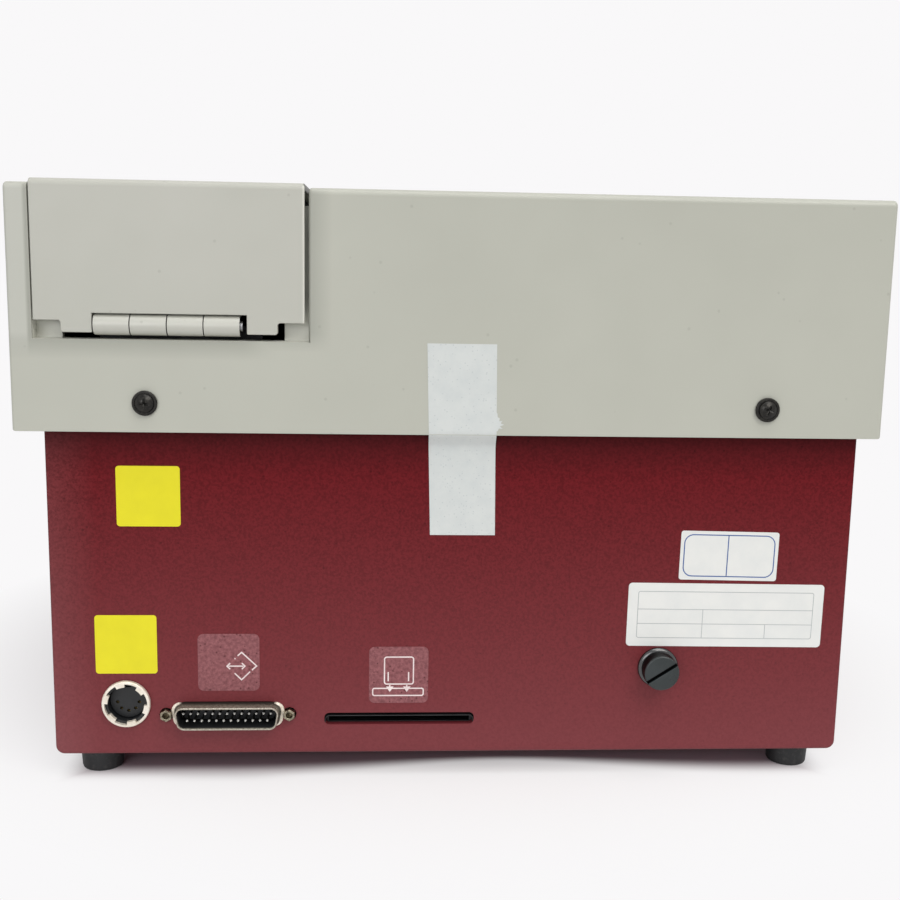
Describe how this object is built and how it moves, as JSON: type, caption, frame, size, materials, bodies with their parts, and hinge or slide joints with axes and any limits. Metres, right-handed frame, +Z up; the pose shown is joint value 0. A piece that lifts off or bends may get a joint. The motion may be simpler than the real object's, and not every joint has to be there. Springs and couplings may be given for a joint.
{
  "type": "chemiluminescence immunoassay analyzer",
  "caption": "Bench analyzer with a textured base tub, an overhanging top housing with a sloping console, and an L-shaped lid hinged at its rear corner over a measuring well.",
  "frame": {"origin": "under the middle of the whole instrument, on the surface its feet stand on", "axes": "+Z up; the front console faces -Y and the rear with the sockets and the lid hinge faces +Y; +X is to the right of someone at the front"},
  "size_m": [0.324, 0.364, 0.2264],
  "materials": {
    "grey_paint": "satin",
    "burgundy_paint": "fine wrinkle texture",
    "cream_paint": "satin",
    "black_rubber": "matte",
    "black_plastic": "semi-gloss moulded",
    "black_screw": "black oxide",
    "tinned_steel": "tinned",
    "bright_steel": "bright",
    "aluminium": "satin",
    "brass": "machined",
    "green_board": "solder resist on glass-fibre board",
    "grey_foam": "closed-cell foam",
    "clear_glass": "polished",
    "keypad_film": "textured film",
    "can_blue": "sleeve"
  },
  "bodies": {
    "base": {"base_tub": "burgundy_paint", "top_housing": "grey_paint", "foot_rear_left": "black_rubber", "foot_rear_right": "black_rubber", "foot_front_left": "black_rubber", "foot_front_right": "black_rubber", "foot_screw_rear_left": "bright_steel", "foot_screw_rear_right": "bright_steel", "foot_screw_front_left": "bright_steel", "foot_screw_front_right": "bright_steel", "cover_screw_left": "black_screw", "cover_screw_right": "black_screw", "cup_washer_left": "black_screw", "cup_washer_right": "black_screw", "hinge_leaf_housing": "cream_paint", "hinge_pin": "bright_steel", "power_socket_shell": "cream_paint", "power_socket_insert": "black_plastic", "serial_port_shell": "tinned_steel", "serial_port_contacts": "black_plastic", "jackscrew_left": "tinned_steel", "jackscrew_right": "tinned_steel", "card_reader": "black_plastic", "fuse_holder_body": "black_plastic", "fuse_holder_nut": "black_plastic", "main_board": "green_board", "board_standoff_1": "brass", "board_standoff_2": "brass", "board_standoff_3": "brass", "board_standoff_4": "brass", "smoothing_capacitor_1": "can_blue", "smoothing_capacitor_2": "can_blue", "heat_sink": "aluminium", "well_liner": "black_plastic", "tray_frame": "aluminium", "guide_rod_left": "bright_steel", "guide_rod_right": "bright_steel", "screw_bearing": "brass", "stepper_motor": "tinned_steel", "detector_housing": "black_plastic", "detector_tube": "clear_glass", "detector_socket": "black_plastic", "display_window": "clear_glass", "display_module": "black_plastic", "keypad": "keypad_film"},
    "lid": {"lid": "grey_paint", "lid_seal": "grey_foam", "lid_magnet": "bright_steel", "hinge_leaf_lid": "cream_paint"},
    "tray": {"chamber_tray": "black_plastic", "lead_nut": "brass"},
    "screw": {"lead_screw": "bright_steel", "shaft_coupler": "aluminium"},
    "fuse_carrier": {"fuse": "clear_glass"},
    "fuse_cap": {"fuse_cap": "black_plastic"}
  },
  "joints": [
    {"name": "lid_hinge", "type": "hinge", "parent": "base", "child": "lid", "pos_m": [0.10458, 0.175, 0.17495], "axis": [-1, 0, 0], "range_deg": [0, 95]},
    {"name": "tray_slide", "type": "slide", "parent": "base", "child": "tray", "axis": [0, -1, 0], "range_m": [0, 0.09]},
    {"name": "screw_turn", "type": "hinge", "parent": "base", "child": "screw", "pos_m": [0.10458, 0, 0.1519], "axis": [0, 1, 0], "range_deg": [0, 3245]},
    {"name": "fuse_pull", "type": "slide", "parent": "base", "child": "fuse_carrier", "axis": [0, 1, 0], "range_m": [0, 0.035]},
    {"name": "fuse_cap_turn", "type": "hinge", "parent": "fuse_carrier", "child": "fuse_cap", "pos_m": [-0.0812, 0.174, 0.0442], "axis": [0, 1, 0], "range_deg": [0, 90]}
  ],
  "couplings": [
    {"joint": "screw_turn", "follows": "tray_slide", "rad_per_m": 628.32}
  ]
}
